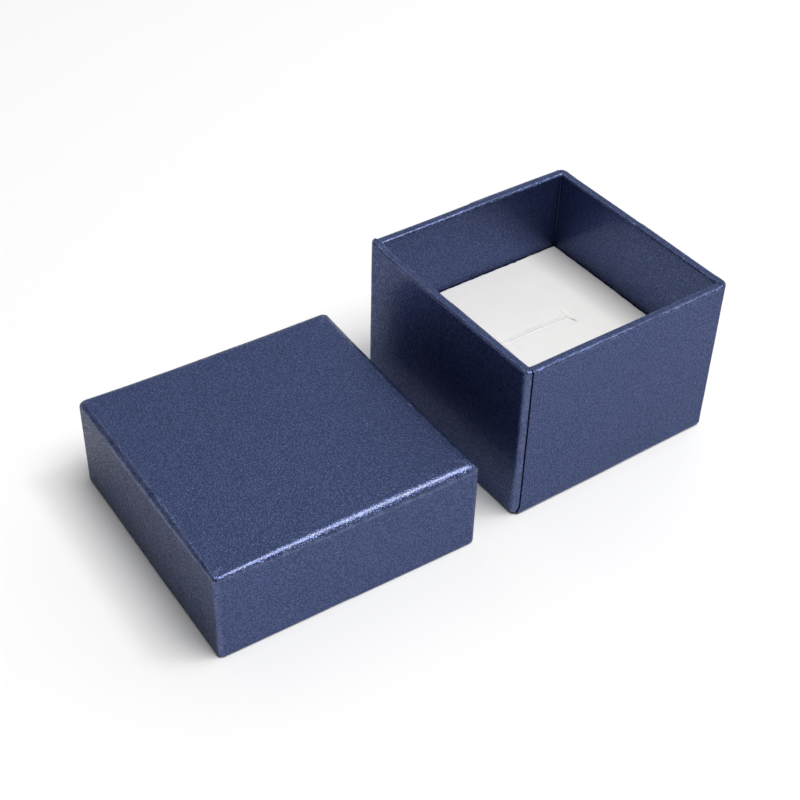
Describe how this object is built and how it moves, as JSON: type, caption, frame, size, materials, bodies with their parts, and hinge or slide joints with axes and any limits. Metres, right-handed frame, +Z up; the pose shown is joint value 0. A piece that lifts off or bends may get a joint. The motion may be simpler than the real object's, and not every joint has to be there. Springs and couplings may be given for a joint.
{
  "type": "jewelry gift box",
  "caption": "Square rigid gift box with a lift-off lid: paper-wrapped board base holding a slit white foam pad for a ring, the lid standing beside it.",
  "frame": {"origin": "middle of the base's bottom face, on the surface that the base and the lid stand on", "axes": "+Z up; -Y is the front of the base; +X to the right, with the lid standing on the left (-X); the ring slit runs along X"},
  "size_m": [0.1471, 0.0724, 0.0455],
  "materials": {
    "leatherette_paper": "satin",
    "greyboard": "matte",
    "stay_paper": "matte",
    "liner_paper": "matte",
    "white_foam": "matte",
    "white_flock": "matte"
  },
  "bodies": {
    "base": {"base_board_tray": "greyboard", "base_corner_stay_front_left": "stay_paper", "base_corner_stay_front_right": "stay_paper", "base_corner_stay_back_left": "stay_paper", "base_corner_stay_back_right": "stay_paper", "base_paper_wrap": "leatherette_paper", "base_floor_liner": "liner_paper"},
    "insert": {"insert_foam_block": "white_foam", "insert_top_sheet": "white_flock"},
    "lid": {"lid_board_tray": "greyboard", "lid_corner_stay_front_left": "stay_paper", "lid_corner_stay_front_right": "stay_paper", "lid_corner_stay_back_left": "stay_paper", "lid_corner_stay_back_right": "stay_paper", "lid_paper_wrap": "leatherette_paper", "lid_top_liner": "liner_paper"}
  },
  "joints": [
    {"name": "lid_lift", "type": "slide", "parent": "base", "child": "lid", "axis": [0, 0, 1], "range_m": [0, 0.06]},
    {"name": "insert_lift", "type": "slide", "parent": "base", "child": "insert", "axis": [0, 0, 1], "range_m": [0, 0.05]}
  ]
}
